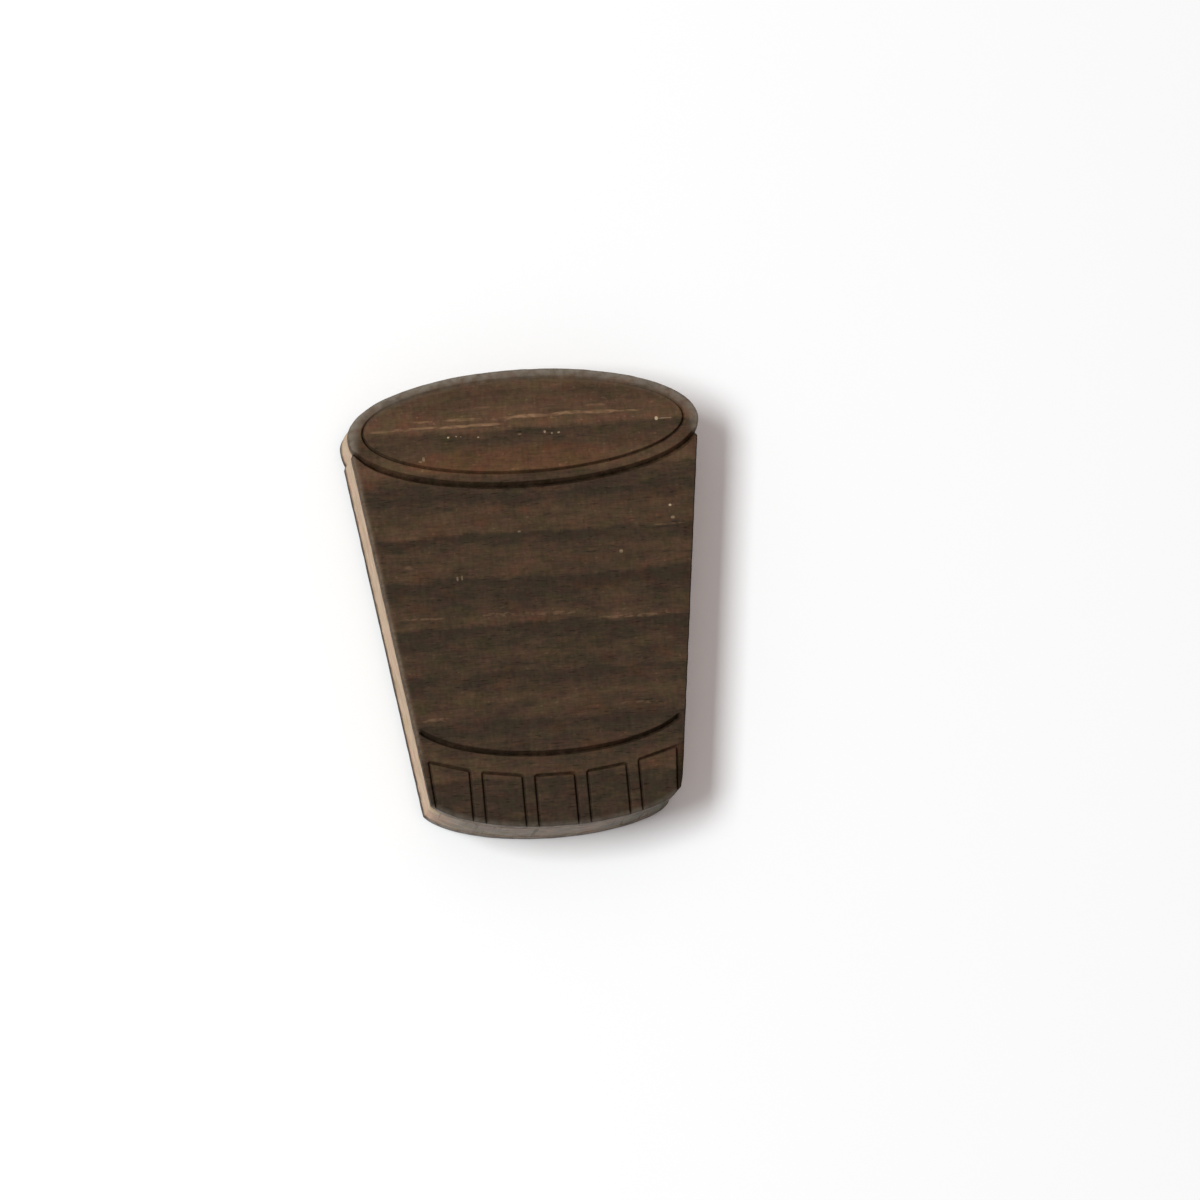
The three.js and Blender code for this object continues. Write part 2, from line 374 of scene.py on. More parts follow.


# Pale sawdust and ash smeared over a leaf's cut edge, thick along the foot and thinner towards
# its right end, where the thinning is painted shade.
SAWDUST = (0.24, 0.215, 0.19, 1.0)
cut_dust, taken, given = new_group(
    "cut_dust", {"Place": "Vector", "Color": "Color", "Edge": "Float"}, {"Color": "Color"}
)
axes = add(cut_dust, "SeparateXYZ", {0: taken.outputs["Place"]}).outputs
dust = spread(cut_dust, axes["Y"], FOOT_DIRT_AND_SHADE_TOP, FOOT_DIRT_AND_SHADE_FULL, 0.1, 0.75)
# Painted shade: less pale dust towards the right end, so the edge is darker there.
dust = maths(cut_dust, "MULTIPLY", dust, spread(cut_dust, axes["X"], 1.0, 5.2, 1.0, 0.3))
smears = grain_noise(cut_dust, taken.outputs["Place"], (2.0, 2.0, 2.0), 3.0, 29.0)
dust = maths(cut_dust, "MULTIPLY", dust, spread(cut_dust, smears, 0.3, 0.65, 0.5, 1.1))
dust = maths(cut_dust, "MULTIPLY", dust, taken.outputs["Edge"])
give(cut_dust, given, {"Color": mix(cut_dust, dust, taken.outputs["Color"], SAWDUST)})


def dusty_back(tree, grain, colour):
    """The back leaf's cut edge, dusty from just above the table upward."""
    place = grain.outputs["Place"]
    height = add(tree, "SeparateXYZ", {0: place}).outputs["Z"]
    edge = spread(tree, height, 0.03, 0.14)
    dusty = use_group(tree, cut_dust, {"Place": place, "Color": colour, "Edge": edge})
    return dusty.outputs["Color"]


back_rings = [
    (8.1, 0.8, 0.4, 0.55), (5.2, 0.95, 0.4, 0.7), (2.9, 0.85, 0.5, 0.6), (0.1, 1.0, 0.45, 0.75),
    (-2.2, 0.85, 0.5, 0.6), (-4.3, 0.95, 0.55, 0.7), (-7.0, 0.9, 0.4, 0.6), (-9.0, 1.0, 0.5, 0.8),
]
back_profile = [
    (0.0, SCORCH_REACH, 0.0), (0.0, 0.1, 0.35), (0.0, 0.04, 0.7), (0.06, 0.012, 0.7),
    (0.2, 0.0, 0.5), (0.45, 0.0, 0.25), (0.8, 0.0, 0.05), (1.0, 0.008, 0.05),
]
back = layer_solid("walnut_back", "back_veneer", back_profile, VENEER_BITE, 0.5, 3.0)
back.data.materials.append(walnut(
    "walnut_back_leaf", back_rings, (0.086, 0.0485, 0.0275, 1.0), (0.034, 0.0225, 0.0145, 1.0),
    dusty_back,
))
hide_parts("back_veneer")
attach(back, "root")

# ------------------------------------------------------------------------------------------
# Core ply. Pale, soft wood two millimetres thick between the veneers. The laser toasts it where
# it cuts, most next to the veneers, and eats the soft wood in a hair further than the walnut.
# ------------------------------------------------------------------------------------------
CORE_BITE = 0.03
# Foot colours: partly real soot, partly painted shade and cool fill light; the darker one for the
# right end is mostly painted shade.
SOOT_AND_COOL_FILL, RIGHT_END_SHADE_AND_SOOT = (0.5, 0.6, 0.72, 1.0), (0.43, 0.48, 0.46, 1.0)
PINK_STAIN, YELLOW_STAIN = (1.06, 0.95, 0.95, 1.0), (0.97, 0.985, 0.87, 1.0)


def pale_wood(name):
    """Dry pale wood seen on its cut edge, with cutting ripples, toasted margins and, along the
    foot, a grey-blue darkening that is partly soot and partly painted shade and cool fill light,
    darkest towards its right end, where it is painted shade, and dark drips that the cut left."""
    material, tree, shader = new_material(name, specular=DRY_WOOD_SPECULAR)
    place = use_group(tree, grain_place, {"Wander": 0.2}).outputs["Place"]
    grain = grain_noise(tree, place, (1.2, 1.2, 9.0), 3.0)
    stains = grain_noise(tree, place, (1.1, 1.1, 1.0), 3.0, 9.0)
    colour = mix(tree, spread(tree, grain, 0.35, 0.7), (0.47, 0.36, 0.265, 1.0),
                 (0.35, 0.255, 0.18, 1.0))
    pink_here = spread(tree, stains, 0.48, 0.62, 0.0, 0.8)
    colour = mix(tree, pink_here, colour, PINK_STAIN, "MULTIPLY")
    yellow_here = spread(tree, stains, 0.46, 0.34, 0.0, 0.8)
    colour = mix(tree, yellow_here, colour, YELLOW_STAIN, "MULTIPLY")
    axes = add(tree, "SeparateXYZ", {0: place}).outputs
    low = maths(tree, "SUBTRACT", axes["Y"], spread(tree, axes["X"], 3.5, 5.5, 0.0, 0.35))
    foot = spread(tree, low, FOOT_DIRT_AND_SHADE_TOP, FOOT_DIRT_AND_SHADE_FULL)
    uneven = grain_noise(tree, place, (1.6, 1.6, 1.2), 3.0, 23.0)
    # Grey-blue on the foot: partly soot, partly painted shade and a painted cool tint of the fill
    # light.
    soot_and_fill_tint = maths(tree, "MULTIPLY", foot, spread(tree, uneven, 0.3, 0.6, 0.75, 1.0))
    soot_and_fill_tint = maths(tree, "MULTIPLY", soot_and_fill_tint, spread(tree, axes["X"], -5.7, -3.4, 0.35, 1.0))
    colour = mix(tree, soot_and_fill_tint, colour, SOOT_AND_COOL_FILL, "MULTIPLY")
    # Painted shade: the foot band darkens towards its right end, on the shadow side.
    shaded_right_end = maths(tree, "MULTIPLY", foot, spread(tree, axes["X"], 1.0, 5.2))
    colour = mix(tree, shaded_right_end, colour, RIGHT_END_SHADE_AND_SOOT, "MULTIPLY")
    drips = grain_noise(tree, place, (5.0, 5.0, 0.25), 1.0, 61.0)
    drips = maths(tree, "MULTIPLY", spread(tree, drips, 0.62, 0.72, 0.0, 0.6), foot)
    colour = mix(tree, drips, colour, DARK_FLECK, "MULTIPLY")
    scorched = use_group(tree, laser_scorch, {
        "Place": place,
        "Color": colour,
        "Burn": add(tree, "Attribute", attribute_name="burn").outputs["Fac"],
        "Toast": (0.62, 0.52, 0.42, 1.0),
        "Char": (0.05, 0.034, 0.022, 1.0),
    })
    tree.links.new(scorched.outputs["Color"], shader.inputs["Base Color"])
    tree.links.new(maths(tree, "MULTIPLY_ADD", grain, 0.15, 0.75), shader.inputs["Roughness"])
    ripples = grain_noise(tree, place, (7.0, 7.0, 0.4), 2.0, 2.0)
    relief = maths(tree, "MULTIPLY_ADD", grain, 0.4, ripples)
    bump = add(tree, "Bump", {"Height": relief, "Strength": 0.6, "Distance": 0.04 * MM})
    tree.links.new(bump.outputs["Normal"], shader.inputs["Normal"])
    return material


core_profile = [
    (0.0, 0.0, 0.45), (0.03, 0.01, 0.3), (0.1, 0.02, 0.1), (0.25, 0.03, 0.0), (0.5, 0.035, 0.0),
    (0.75, 0.03, 0.0), (0.9, 0.02, 0.05), (0.97, 0.01, 0.25), (1.0, 0.0, 0.4),
]
core = layer_solid("pale_core", "core_ply", core_profile, CORE_BITE, 0.35, 8.0)
core.data.materials.append(pale_wood("pale_core_wood"))
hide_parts("core_ply")
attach(core, "root")

# ------------------------------------------------------------------------------------------
# Glue lines. Two films of brown wood glue, a tenth of a millimetre thick, that hold the veneers
# to the core over the whole outline. Only their cut edge shows, as a hairline.
# ------------------------------------------------------------------------------------------
GLUE_BITE, GLUE_HOLLOWS = 0.02, 0.25


def cured_glue(name):
    """Brown cured glue, browner and duller where the cut has cooked it."""
    material, tree, shader = new_material(name, specular=0.1)
    place = use_group(tree, grain_place, {"Wander": 0.1}).outputs["Place"]
    cooked = grain_noise(tree, place, (3.0, 3.0, 3.0), 3.0)
    colour = mix(tree, cooked, (0.3, 0.21, 0.14, 1.0), (0.13, 0.09, 0.06, 1.0))
    tree.links.new(colour, shader.inputs["Base Color"])
    tree.links.new(maths(tree, "MULTIPLY_ADD", cooked, 0.3, 0.45), shader.inputs["Roughness"])
    bump = add(tree, "Bump", {"Height": cooked, "Strength": 0.4, "Distance": 0.02 * MM})
    tree.links.new(bump.outputs["Normal"], shader.inputs["Normal"])
    return material


glue = cured_glue("cured_brown_glue")
glue_profile = [(0.0, 0.012, 0.0), (0.3, 0.0, 0.0), (0.7, 0.0, 0.0), (1.0, 0.012, 0.0)]
for side, seed in (("back", 13.0), ("front", 17.0)):
    film = layer_solid(
        f"glue_film_{side}", f"{side}_glue_line", glue_profile, GLUE_BITE, GLUE_HOLLOWS, seed
    )
    film.data.materials.append(glue)
    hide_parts(f"{side}_glue_line")
    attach(film, "root")

# ------------------------------------------------------------------------------------------
# Face veneer. A leaf of figured walnut with its grain across the tumbler. The laser burnt the
# drawing part of the way through it and toasted the foot's corners; the rim's right side is
# painted darker as shade. Handling rounded and wore its upper edge, whose lighter band is
# partly painted sheen, and knocked off one corner of the foot.
# ------------------------------------------------------------------------------------------
face_low, face_high = (np.array(corner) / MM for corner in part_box("face_veneer"))
FACE_TOP = face_high[2]
MOUTH_Y = face_high[1] - 2.53
FOOT_Y = face_low[1]
THIN_LINE, THIN_DEPTH = 0.14, 0.18
LIP_LINE_START, LIP_LINE, BASE_LINE, BOLD_DEPTH = 0.12, 0.28, 0.24, 0.3
LINE_TAPER = 0.1
MOUTH_BURN, LIP_BURN, BASE_BURN, PANEL_BURN = 0.24, 0.47, 0.38, 0.2
LINE_EDGE = 0.02
EDGE_ROUND, EDGE_DROP = 0.3, 0.1
# Width of the worn band, which is partly real wear and partly painted sheen on the rounded edge.
WEAR_AND_SHEEN_REACH = 0.65


def ellipse_line(centre_y, half_width, half_depth, start, end, count):
    """Points on part of an ellipse, between two angles in degrees."""
    angles = np.radians(np.linspace(start, end, count))
    return np.column_stack([half_width * np.cos(angles), centre_y + half_depth * np.sin(angles)])


def panel_frame(step):
    """One panel of the foot: up, over and down again, with small round corners."""
    pitch, width, corner, radius, length, lean = 2.265, 1.72, 0.06, 16.5, 3.6, 0.075
    posts = []
    for side in (-1, 1):
        x = step * pitch + side * width / 2
        top = np.array([x, FOOT_Y + 2.22 + radius - math.sqrt(radius**2 - x**2)])
        slope = np.array([-side * lean if step * side == 2 else 0.0, -1.0])
        posts.append((top, slope))
    (left, left_down), (right, right_down) = posts
    across = (right - left) / np.linalg.norm(right - left)
    points = [left + left_down * length]
    for tip, arrive, leave in ((left, left_down, across), (right, -across, right_down)):
        for t in np.linspace(0, 1, 7):
            first, last = tip + arrive * corner, tip + leave * corner
            points.append(first * (1 - t) ** 2 + tip * 2 * t * (1 - t) + last * t**2)
    points.append(right + right_down * length)
    return np.array(points)


lip_arc = ellipse_line(MOUTH_Y - 0.285, 7.5, 2.25, 198.8, 341.2, 73)
lip_ends = lip_arc[[0, -1]] + 2 * (np.array([[-7.45, 6.78], [7.45, 6.78]]) - lip_arc[[0, -1]])
lip_line = np.vstack([lip_ends[:1], lip_arc, lip_ends[1:]])
mouth_line = ellipse_line(MOUTH_Y + 0.07, 6.98, 2.05, 0, 360, 145)
base_line = ellipse_line(-4.74, 6.08, 2.09, 204.1, 335.9, 73)
# Each burnt line is (path, width at its start, full width, depth, how strongly it is burnt).
burnt_lines = [
    (mouth_line, THIN_LINE, THIN_LINE, THIN_DEPTH, MOUTH_BURN),
    (lip_line, LIP_LINE_START, LIP_LINE, BOLD_DEPTH, LIP_BURN),
    (base_line, BASE_LINE, BASE_LINE, BOLD_DEPTH, BASE_BURN),
]
for step in range(-2, 3):
    burnt_lines.append((panel_frame(step), THIN_LINE, THIN_LINE, THIN_DEPTH, PANEL_BURN))


def measure(points, path, closed=False):
    """For each point, its distance to a path, and how far along the path it is, 0 to 1."""
    path = np.vstack([path, path[:1]]) if closed else path
    starts, spans = path[:-1], np.diff(path, axis=0)
    lengths = np.linalg.norm(spans, axis=1)
    travelled = np.concatenate([[0], np.cumsum(lengths)[:-1]])
    best, where = np.full(len(points), np.inf), np.zeros(len(points))
    for start, span, length, before in zip(starts, spans, lengths, travelled):
        t = np.clip((points - start) @ span / length**2, 0, 1)
        gap = np.linalg.norm(points - start - t[:, None] * span, axis=1)
        nearer = gap < best
        best[nearer] = gap[nearer]
        where[nearer] = (before + t[nearer] * length) / lengths.sum()
    return best, where


def walk(path, spacing):
    """Points along a path at an even spacing, with the direction of travel at each."""
    lengths = np.concatenate([[0], np.cumsum(np.linalg.norm(np.diff(path, axis=0), axis=1))])
    marks = np.linspace(0, lengths[-1], max(2, round(lengths[-1] / spacing)))
    points = np.column_stack([np.interp(marks, lengths, path[:, k]) for k in (0, 1)])
    along = np.gradient(points, axis=0)
    return points, along / np.linalg.norm(along, axis=1)[:, None], marks / lengths[-1]


def half_width(fraction, start_width, width):
    """Half a line's width, which grows from its start to full width over a short taper."""
    return (start_width + (width - start_width) * np.clip(fraction / LINE_TAPER, 0, 1)) / 2


def ease(value):
    """A value held between 0 and 1, with a soft start and end."""
    value = np.clip(value, 0, 1)
    return value * value * (3 - 2 * value)


def face_shape(points, ring):
    """Height of the worked face, how burnt it is and how worn and sheened, at any points of the
    outline. The rim is charred, and painted darker along its right side, away from the lamp, as
    painted shade. Its lighter worn band, widest round the mouth and faint on the right side, is
    partly real wear and partly painted sheen on the rounded edge. The foot's corners are
    toasted. The mouth's line runs out faint and shallow over its upper half."""
    edge_gap = measure(points, ring, closed=True)[0]
    round_off = 1 - np.clip(edge_gap / EDGE_ROUND, 0, 1)
    sunk = EDGE_DROP * (1 - np.sqrt(np.clip(1 - round_off**2.5, 0, 1)))
    x, y = points.T
    shaded_right_side = ease((x - 3.8) / 1.5) * ease((6.9 - y) / 0.3) * ease((y + 8.9) / 0.3)
    foot = ease((-8.6 - y) / 0.3)
    # The rim's burn is raised along the right side as painted shade, on the side away from the
    # lamp.
    burn = (0.3 + 0.65 * shaded_right_side) * (1 - 0.9 * foot) * ease(1 - edge_gap / 0.07)
    corner = ease((-6.0 - y) / 1.2) * ease((np.abs(x) - 4.9) / 0.4) * (1 - 0.7 * foot)
    burn = np.maximum(burn, 0.5 * corner * ease(1.2 - edge_gap / 0.4))
    wobble = np.array([noise.noise(Vector((x * 3, y * 3, 5.0))) for x, y in points])
    faint = ease((y - MOUTH_Y) / 1.2) * (edge_gap > 0.3)
    for path, start_width, width, depth, strength in burnt_lines:
        gap, fraction = measure(points, path)
        half = half_width(fraction, start_width, width)
        across = np.clip(gap / half, 0, 1)
        inside = ease((half + LINE_EDGE - gap) / (2 * LINE_EDGE))
        cut = depth * (1 + 0.25 * wobble) * (1 - 0.85 * across**1.2) * (1 - 0.6 * faint)
        sunk = np.maximum(sunk, cut * inside)
        halo = (1 - inside) * 0.15 * np.exp(-((gap - half) / 0.04))
        charred = inside * (1 - 0.8 * across) + halo
        burn = np.maximum(burn, charred * strength * (1 - 0.85 * faint) * (1 + 0.6 * wobble))
    # The worn band is partly painted sheen: widest round the mouth and faint on the shaded right
    # side.
    reach = WEAR_AND_SHEEN_REACH * (0.3 + 0.65 * ease((y - 6.4) / 1.2) + 0.1 * foot)
    wear_and_sheen = ease(1 - edge_gap / reach) * (1 - 0.8 * shaded_right_side)
    wear_and_sheen = wear_and_sheen * (1 - 0.7 * corner) * (1 - 0.35 * foot)
    return FACE_TOP - sunk, np.clip(burn, 0, 1), wear_and_sheen


def gather_points(ring):
    """The points that the face is meshed on: dense rows along its edge and along every burnt
    line, and a coarse grid between them, none closer together than a tenth of the spacing."""
    wanted = [ring]
    for inset in (0.015, 0.04, 0.08, 0.14, 0.22, 0.3):
        wanted.append(move_inward(ring, inset))
    for path, start_width, width, depth, strength in burnt_lines:
        points, along, fraction = walk(path, 0.08)
        aside = np.column_stack([-along[:, 1], along[:, 0]])
        half = half_width(fraction, start_width, width)
        offsets = [np.zeros_like(half), half * 0.5]
        offsets += [half + LINE_EDGE * k for k in (-1, -0.4, 0.4, 1)]
        offsets += [half + reach for reach in (0.06, 0.14)]
        for offset in offsets:
            wanted += [points + aside * offset[:, None], points - aside * offset[:, None]]
    across, up = (np.arange(face_low[k] + 0.2, face_high[k], 0.4) for k in (0, 1))
    wanted.append(np.array([(x + 0.2 * (row % 2), y) for row, y in enumerate(up) for x in across]))
    kept, filled = [], set()
    for batch, points in enumerate(wanted):
        if batch:
            gap = measure(points, ring, closed=True)[0]
            points = points[(gap > 0.012) & inside_ring(points, ring)]
        for point in points:
            cell = (round(point[0] / 0.014), round(point[1] / 0.014))
            if batch == 0 or cell not in filled:
                filled.add(cell)
                kept.append(point)
    return np.array(kept)


def inside_ring(points, ring):
    """Which points lie within a closed ring, by counting the sides to the right of each."""
    crossings = np.zeros(len(points), int)
    for (x0, y0), (x1, y1) in zip(ring, np.roll(ring, -1, axis=0)):
        spans = (points[:, 1] < y0) != (points[:, 1] < y1)
        if spans.any():
            at = x0 + (points[:, 1] - y0) * (x1 - x0) / (y1 - y0)
            crossings += spans & (points[:, 0] < at)
    return crossings % 2 == 1


def engraved_leaf(name, node):
    """The face veneer's solid: a meshed face, a burnt edge and a flat underside."""
    ring = ring_round(node)
    ring = move_inward(ring, bites(ring, FACE_TOP, VENEER_BITE, 0.5, 23.0))
    ring = chip_corner(ring, CORNER_CHIP / 2)
    points = gather_points(ring)
    count = len(ring)
    flat = [Vector(point) for point in points]
    sides = [(i, (i + 1) % count) for i in range(count)]
    meshed = geometry.delaunay_2d_cdt(flat, sides, [list(range(count))], 1, TOUCHING)
    corners = np.array([tuple(corner) for corner in meshed[0]])
    came_from = {source: i for i, sources in enumerate(meshed[3]) for source in sources}
    heights, burn, wear_and_sheen = face_shape(corners, ring)

    leaf = bmesh.new()
    burn_layer = leaf.verts.layers.float.new("burn")
    wear_and_sheen_layer = leaf.verts.layers.float.new("wear_and_sheen")
    edge_layer = leaf.verts.layers.float.new("edge")
    top = [leaf.verts.new((x * MM, y * MM, z * MM)) for (x, y), z in zip(corners, heights)]
    for vert, burnt, worn_and_sheened in zip(top, burn, wear_and_sheen):
        vert[burn_layer], vert[wear_and_sheen_layer] = burnt, worn_and_sheened
    for triangle in meshed[2]:
        leaf.faces.new([top[i] for i in triangle])
    rim = [top[came_from[i]] for i in range(count)]
    bottom = face_low[2] * MM
    upper = rim
    # Each row of the edge is (share of its height, inset, how much more burnt it is).
    edge_rows = ((0.75, 0.0, 0.0), (0.4, 0.0, 0.0), (0.1, 0.0, 0.05), (0.0, 0.01, 0.1))
    for share, inset, more in edge_rows:
        lower = []
        for vert, (x, y) in zip(rim, move_inward(ring, inset)):
            lower.append(leaf.verts.new((x * MM, y * MM, bottom + (vert.co.z - bottom) * share)))
            lower[-1][burn_layer] = vert[burn_layer] * 0.7 + more
            # The worn band and its painted sheen fade quickly down the cut edge.
            lower[-1][wear_and_sheen_layer] = vert[wear_and_sheen_layer] * share * 0.5
            lower[-1][edge_layer] = 1.0
        for i in range(count):
            j = (i + 1) % count
            leaf.faces.new((lower[i], lower[j], upper[j], upper[i]))
        upper = lower
    leaf.faces.new(reversed(upper))
    bmesh.ops.recalc_face_normals(leaf, faces=leaf.faces)
    mesh = bpy.data.meshes.new(name)
    leaf.to_mesh(mesh)
    leaf.free()
    mesh.shade_smooth()
    mesh.set_sharp_from_angle(angle=math.radians(40))
    piece = bpy.data.objects.new(name, mesh)
    bpy.context.scene.collection.objects.link(piece)
    return piece


# A pale mark in the leaf: a streak of lighter wood along the grain, or a single pale fleck.
pale_mark, taken, given = new_group(
    "pale_mark",
    {"Place": "Vector", "X": "Float", "Y": "Float", "Half Length": "Float",
     "Half Width": "Float", "Broken": "Float"},
    {"Mask": "Float"},
)
axes = add(pale_mark, "SeparateXYZ", {0: taken.outputs["Place"]}).outputs
off_x = maths(pale_mark, "SUBTRACT", axes["X"], taken.outputs["X"])
off_y = maths(pale_mark, "SUBTRACT", axes["Y"], taken.outputs["Y"])
sway = grain_noise(pale_mark, taken.outputs["Place"], (0.8, 0.1, 1))
sway = maths(pale_mark, "SUBTRACT", sway, 0.5)
off_y = maths(pale_mark, "MULTIPLY_ADD", sway, 0.12, off_y)
far_x = maths(pale_mark, "DIVIDE", off_x, taken.outputs["Half Length"])
far_x = maths(pale_mark, "POWER", maths(pale_mark, "ABSOLUTE", far_x), 3.0)
far_y = maths(pale_mark, "DIVIDE", off_y, taken.outputs["Half Width"])
far_y = maths(pale_mark, "POWER", maths(pale_mark, "ABSOLUTE", far_y), 2.0)
solid_mark = spread(pale_mark, maths(pale_mark, "ADD", far_x, far_y), 1.0, 0.2)
gaps = grain_noise(pale_mark, taken.outputs["Place"], (3.0, 7.0, 1.0), 4.0)
gaps = maths(pale_mark, "SUBTRACT", 1.0, spread(pale_mark, gaps, 0.44, 0.6))
gaps = maths(pale_mark, "MULTIPLY", taken.outputs["Broken"], gaps)
gaps = maths(pale_mark, "SUBTRACT", 1.0, gaps)
give(pale_mark, given, {"Mask": maths(pale_mark, "MULTIPLY", solid_mark, gaps)})

# Each mark is (middle x, y, half length, half width, how broken up, strength).
streaks = [
    (-6.2, 7.62, 0.5, 0.07, 0.5, 0.45), (-5.2, 7.65, 0.8, 0.08, 0.8, 0.6),
    (-4.3, 7.67, 0.6, 0.06, 0.3, 0.75), (-3.0, 7.62, 0.8, 0.08, 0.6, 0.8),
    (-1.7, 7.66, 0.8, 0.08, 0.4, 0.85), (-4.3, 7.93, 0.6, 0.06, 0.9, 0.5),
    (-2.6, 7.92, 0.9, 0.08, 0.7, 0.6), (-0.9, 7.9, 0.6, 0.1, 0.8, 0.5),
    (0.3, 7.93, 0.9, 0.1, 0.5, 0.9), (1.9, 7.95, 1.0, 0.09, 0.7, 0.75),
    (3.4, 7.92, 0.9, 0.09, 0.6, 0.7), (4.7, 7.9, 0.6, 0.06, 0.7, 0.5),
    (3.2, 8.22, 0.5, 0.08, 0.5, 0.4), (-1.7, 8.42, 0.4, 0.06, 0.5, 0.3),
    (-5.2, -0.67, 1.2, 0.06, 1.0, 0.3), (-1.7, -0.66, 1.3, 0.14, 1.0, 0.25),
    (0.7, -0.75, 1.0, 0.12, 1.0, 0.25), (4.2, -1.08, 2.0, 0.09, 1.0, 0.3),
    (5.9, 2.83, 1.0, 0.04, 0.8, 0.3), (3.9, -4.87, 0.9, 0.08, 1.0, 0.25),
    (-4.9, -5.1, 0.7, 0.12, 1.0, 0.3), (-5.5, 1.6, 0.3, 0.1, 0.8, 0.25),
]
flecks = [
    (5.78, 7.47, 0.08, 0.1, 0.0, 1.0), (6.15, 7.46, 0.35, 0.035, 0.5, 0.45),
    (6.03, 3.65, 0.07, 0.06, 0.0, 0.9), (6.1, 3.1, 0.1, 0.08, 0.7, 0.35),
    (3.73, 1.75, 0.09, 0.09, 0.5, 0.4), (-3.3, 7.17, 0.06, 0.05, 0.0, 0.8),
    (-2.95, 7.19, 0.045, 0.035, 0.0, 0.5), (-2.75, 7.17, 0.03, 0.03, 0.0, 0.4),
    (-2.0, 7.12, 0.05, 0.04, 0.0, 0.6), (-0.2, 7.15, 0.1, 0.05, 0.6, 0.45),
    (0.9, 7.2, 0.06, 0.07, 0.0, 0.5), (1.2, 7.12, 0.05, 0.05, 0.0, 0.4),
    (1.5, 7.13, 0.07, 0.05, 0.0, 0.5), (-3.45, 1.0, 0.05, 0.12, 0.3, 0.35),
    (-3.25, 1.02, 0.05, 0.12, 0.3, 0.3), (-4.45, 6.32, 0.07, 0.12, 0.3, 0.4),
    (-4.6, 6.22, 0.09, 0.05, 0.3, 0.3), (-0.6, 2.9, 0.08, 0.05, 0.3, 0.3),
]
RUDDY = (1.22, 1.0, 0.86, 1.0)
PALE_STREAK, PALE_FLECK = (0.21, 0.12, 0.066, 1.0), (0.36, 0.27, 0.17, 1.0)
# Worn-edge tints: lighter greys that are partly real wear and partly painted sheen.
WORN_SHEEN_SIDE, WORN_SHEEN_MOUTH = (0.115, 0.083, 0.057, 1.0), (0.16, 0.137, 0.111, 1.0)
WORN_FOOT = (0.1, 0.085, 0.068, 1.0)


def face_marks(tree, grain, colour):
    """The face leaf's ruddy patch low in the mouth, its streaks and flecks, its worn edge,
    lightened partly by real wear and partly by painted sheen, and the dust on its cut side."""
    place = grain.outputs["Place"]
    ruddy = use_group(tree, pale_mark, {
        "Place": place, "X": -0.6, "Y": 6.05, "Half Length": 5.0, "Half Width": 0.75, "Broken": 0.0,
    })
    colour = mix(tree, maths(tree, "MULTIPLY", ruddy.outputs["Mask"], 0.7), colour,
                 RUDDY, "MULTIPLY")
    for marks, tint in ((streaks, PALE_STREAK), (flecks, PALE_FLECK)):
        for x, y, half_length, half_wide, broken, strength in marks:
            mark = use_group(tree, pale_mark, {
                "Place": place, "X": x, "Y": y, "Half Length": half_length,
                "Half Width": half_wide, "Broken": broken,
            })
            factor = maths(tree, "MULTIPLY", mark.outputs["Mask"], strength)
            colour = mix(tree, factor, colour, tint)
    # The worn band's lighter grey is partly real wear and partly painted sheen on the rounded edge.
    worn_and_sheened = add(tree, "Attribute", attribute_name="wear_and_sheen").outputs["Fac"]
    scuffs = grain_noise(tree, place, (3.0, 3.5, 1.0), 3.0)
    scuff_and_sheen = maths(tree, "MULTIPLY", worn_and_sheened, spread(tree, scuffs, 0.25, 0.7, 0.4, 1.05))
    level = add(tree, "SeparateXYZ", {0: place}).outputs["Y"]
    wear_and_sheen_tint = mix(tree, spread(tree, level, 6.2, 7.8), WORN_SHEEN_SIDE, WORN_SHEEN_MOUTH)
    wear_and_sheen_tint = mix(tree, spread(tree, level, -8.3, -8.8), wear_and_sheen_tint, WORN_FOOT)
    colour = mix(tree, scuff_and_sheen, colour, wear_and_sheen_tint)
    edge = add(tree, "Attribute", attribute_name="edge").outputs["Fac"]
    dusty = use_group(tree, cut_dust, {"Place": place, "Color": colour, "Edge": edge})
    return dusty.outputs["Color"]


face_rings = [
    (9.0, 0.6, 0.4, 0.35), (7.3, 0.85, 0.2, 0.6), (5.5, 0.7, 0.25, 0.85), (4.65, 1.05, 0.9, 0.65),
    (2.75, 1.05, 0.55, 0.68), (0.8, 1.1, 0.7, 0.88), (-1.2, 1.1, 0.62, 0.84),
    (-3.3, 1.03, 0.76, 0.66), (-5.4, 1.05, 0.8, 0.88), (-7.9, 1.0, 0.6, 0.95),
]
face = engraved_leaf("walnut_face", "face_veneer")
face.data.materials.append(walnut(
    "walnut_face_leaf", face_rings, (0.094, 0.0515, 0.0285, 1.0), (0.0305, 0.0203, 0.013, 1.0),
    face_marks,
))
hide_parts("face_veneer")
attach(face, "root")

# ------------------------------------------------------------------------------------------
# Table top. A broad sheet of white card, matt and plain, that the token lies on.
# ------------------------------------------------------------------------------------------
TABLE_REACH = 1.5
card = bmesh.new()
bmesh.ops.create_grid(card, x_segments=8, y_segments=8, size=TABLE_REACH)
table_mesh = bpy.data.meshes.new("table_top")
card.to_mesh(table_mesh)
card.free()
table = bpy.data.objects.new("table_top", table_mesh)
bpy.context.scene.collection.objects.link(table)
table_paper, tree, shader = new_material("white_card", specular=0.0)
shader.inputs["Base Color"].default_value = (0.8, 0.8, 0.8, 1.0)
shader.inputs["Roughness"].default_value = 0.9
table.data.materials.append(table_paper)

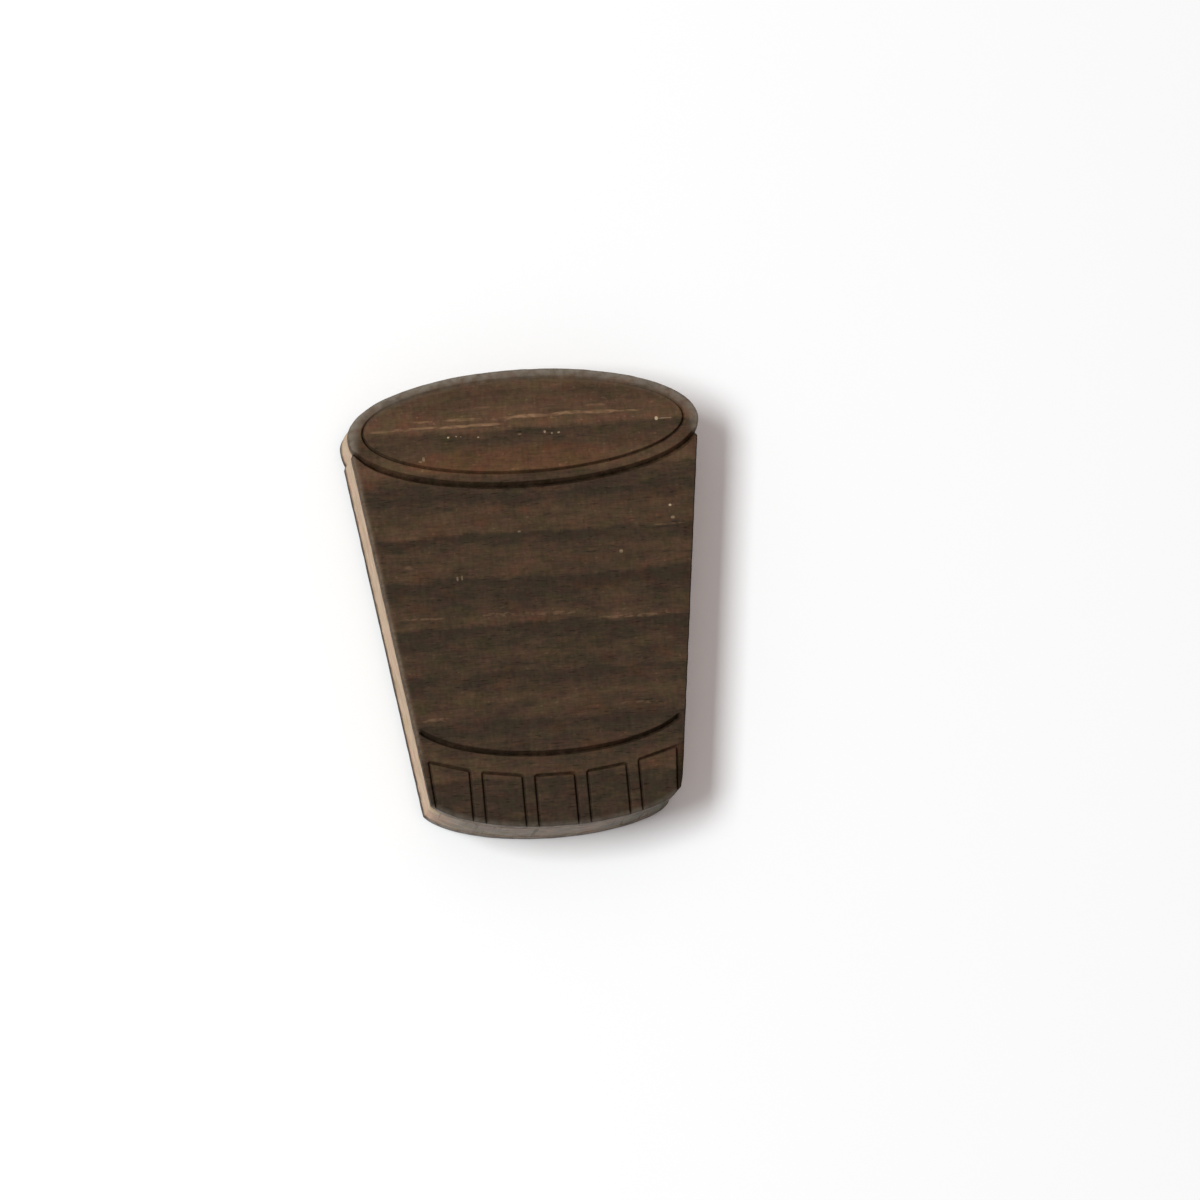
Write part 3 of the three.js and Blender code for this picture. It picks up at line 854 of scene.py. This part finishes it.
# ------------------------------------------------------------------------------------------
# Studio light. One soft lamp high on the left, and a pale, slightly warm room round it.
# ------------------------------------------------------------------------------------------
LAMP_DISTANCE = 0.5
LAMP_LEAN, LAMP_SWING = math.radians(35), math.radians(6)
LAMP_WIDTH, LAMP_LENGTH, LAMP_WATTS = 0.15, 0.25, 2.38
middle = Vector([(low + high) / 2 for low, high in zip(*cad_box)])
lamp_data = bpy.data.lights.new("soft_lamp", "AREA")
lamp_data.shape = "RECTANGLE"
lamp_data.size = LAMP_WIDTH
lamp_data.size_y = LAMP_LENGTH
lamp_data.energy = LAMP_WATTS
lamp_data.color = (1.0, 1.06, 1.075)
lamp = bpy.data.objects.new("soft_lamp", lamp_data)
bpy.context.scene.collection.objects.link(lamp)
lamp_turn = Matrix.Rotation(-LAMP_SWING, 4, "Z") @ Matrix.Rotation(-LAMP_LEAN, 4, "Y")
lamp_reach = Matrix.Translation((0, 0, LAMP_DISTANCE))
lamp.matrix_world = Matrix.Translation(middle) @ lamp_turn @ lamp_reach

room = bpy.data.worlds.new("pale_room")
room.use_nodes = True
room.node_tree.nodes["Background"].inputs["Color"].default_value = (1.0, 0.91, 0.895, 1.0)
room.node_tree.nodes["Background"].inputs["Strength"].default_value = 0.52
bpy.context.scene.world = room
bpy.context.scene.view_settings.view_transform = "Standard"

# ------------------------------------------------------------------------------------------
# Camera. A long lens looking down from a little to the left of the foot, slightly rolled.
# ------------------------------------------------------------------------------------------
CAMERA_DISTANCE = 0.8
LENS, SENSOR = 559.2, 36
TILT, TURN, ROLL = (math.radians(angle) for angle in (-10.36, 8.39, 5.27))
ASIDE, ABOVE = 2.615 * MM, -0.143 * MM
look = Matrix.Rotation(ROLL, 4, "Z") @ Matrix.Rotation(TILT, 4, "X")
look = look @ Matrix.Rotation(TURN, 4, "Y")
camera_data = bpy.data.cameras.new("camera")
camera_data.sensor_width = SENSOR
camera_data.lens = LENS
camera_data.clip_start = 0.01
camera_data.clip_end = 20
camera = bpy.data.objects.new("camera", camera_data)
bpy.context.scene.collection.objects.link(camera)
face_middle = Vector((middle.x, middle.y, cad_box[1][2]))
stand_back = Matrix.Translation((ASIDE, ABOVE, CAMERA_DISTANCE))
camera.matrix_world = Matrix.Translation(face_middle) @ look.inverted() @ stand_back
bpy.context.scene.camera = camera
